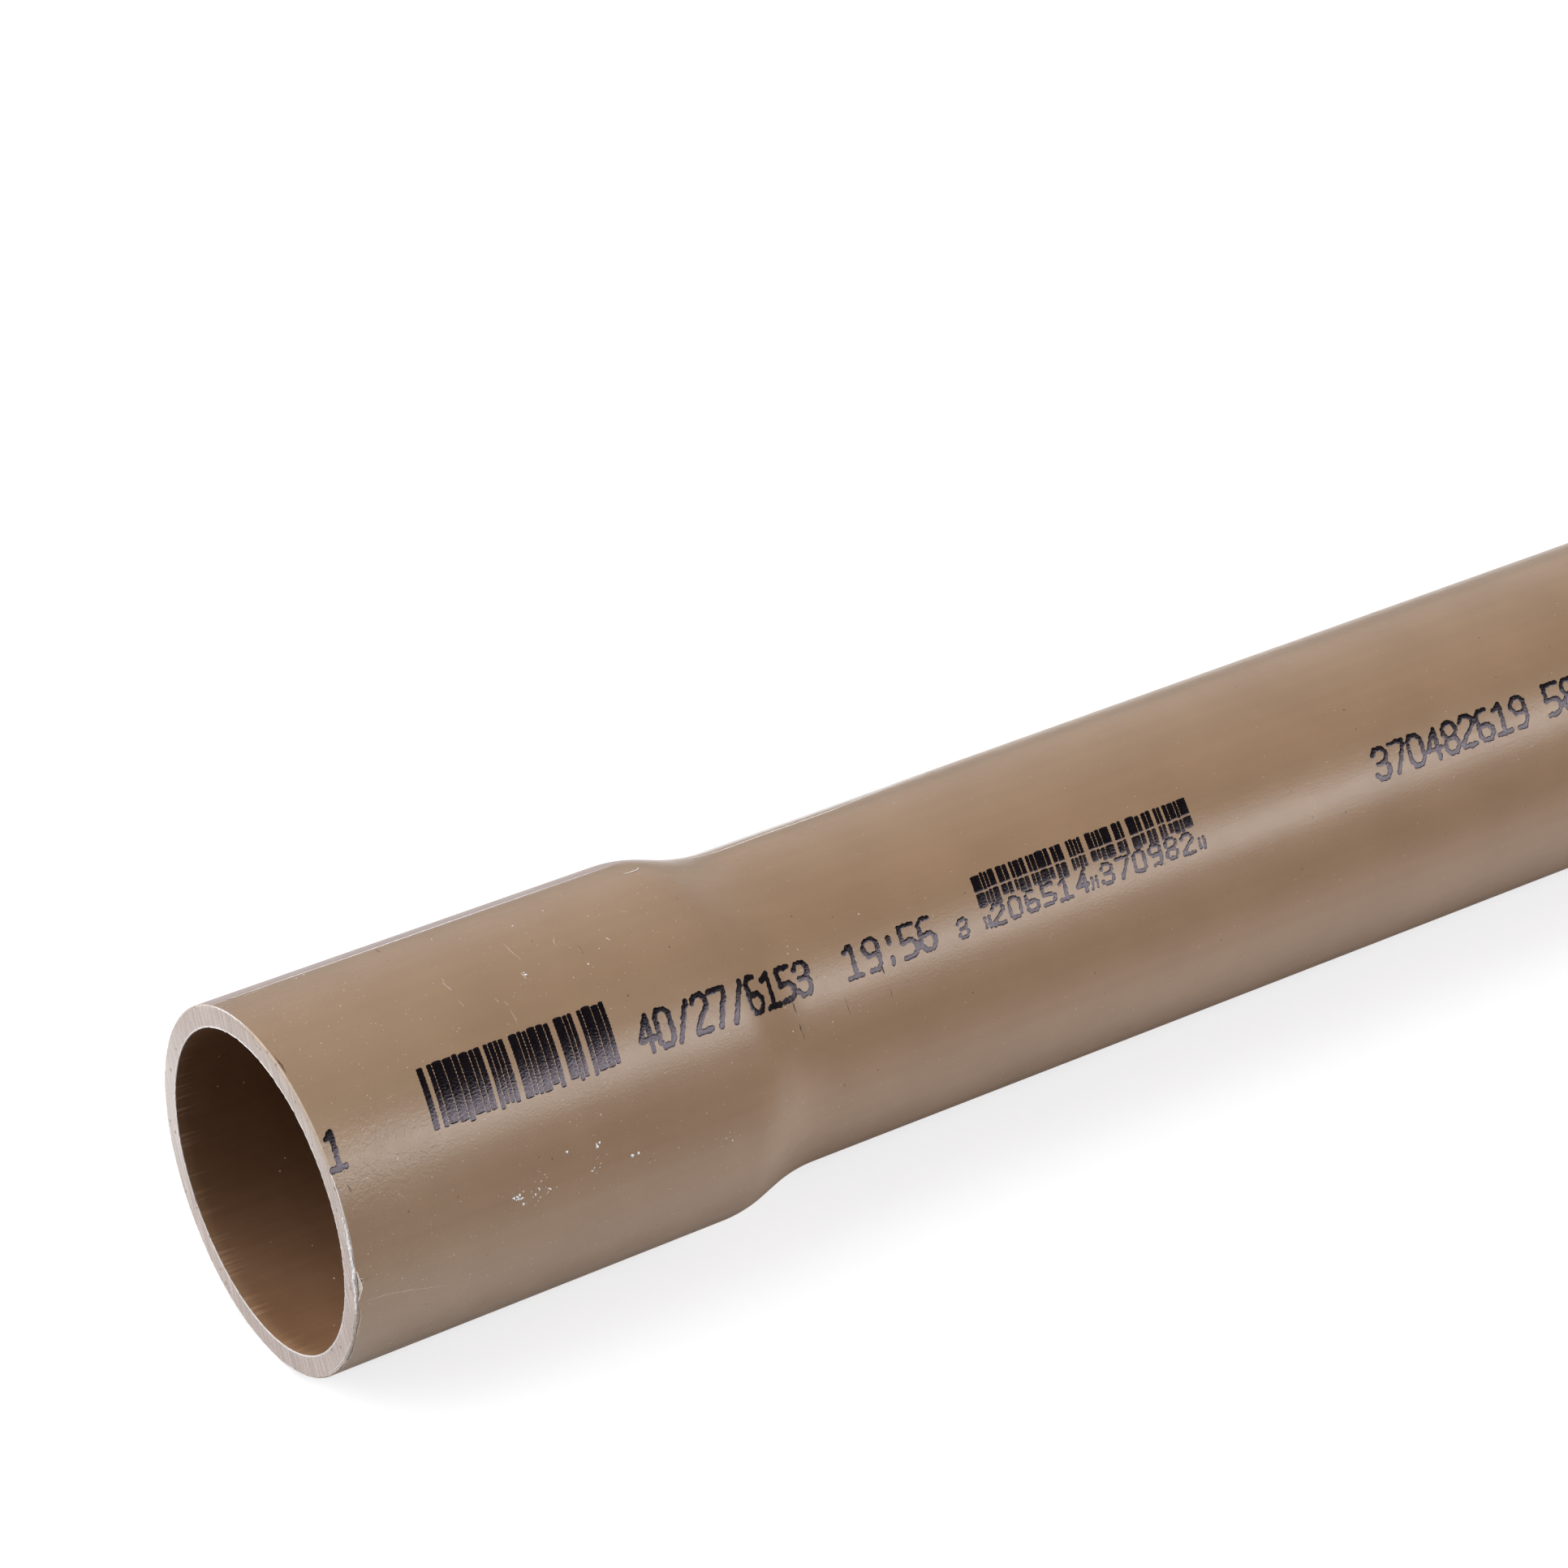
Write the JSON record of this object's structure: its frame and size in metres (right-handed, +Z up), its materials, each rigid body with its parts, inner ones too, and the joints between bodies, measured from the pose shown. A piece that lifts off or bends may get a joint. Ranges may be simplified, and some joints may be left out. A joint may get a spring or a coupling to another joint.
{
  "type": "pvc pipe",
  "caption": "Straight brown rigid PVC water pipe, belled into a cement socket at its mouth end and sawn plain at the other.",
  "frame": {"origin": "centre of the socket's mouth, on the pipe's axis", "axes": "+X along the pipe from the socket's mouth to its plain end, +Z up as it lies"},
  "size_m": [3, 0.0286, 0.0288],
  "materials": {
    "pvc": "satin brown, as extruded",
    "ink": "near-black sprayed print"
  },
  "bodies": {
    "root": {"pipe": "pvc"}
  },
  "joints": []
}
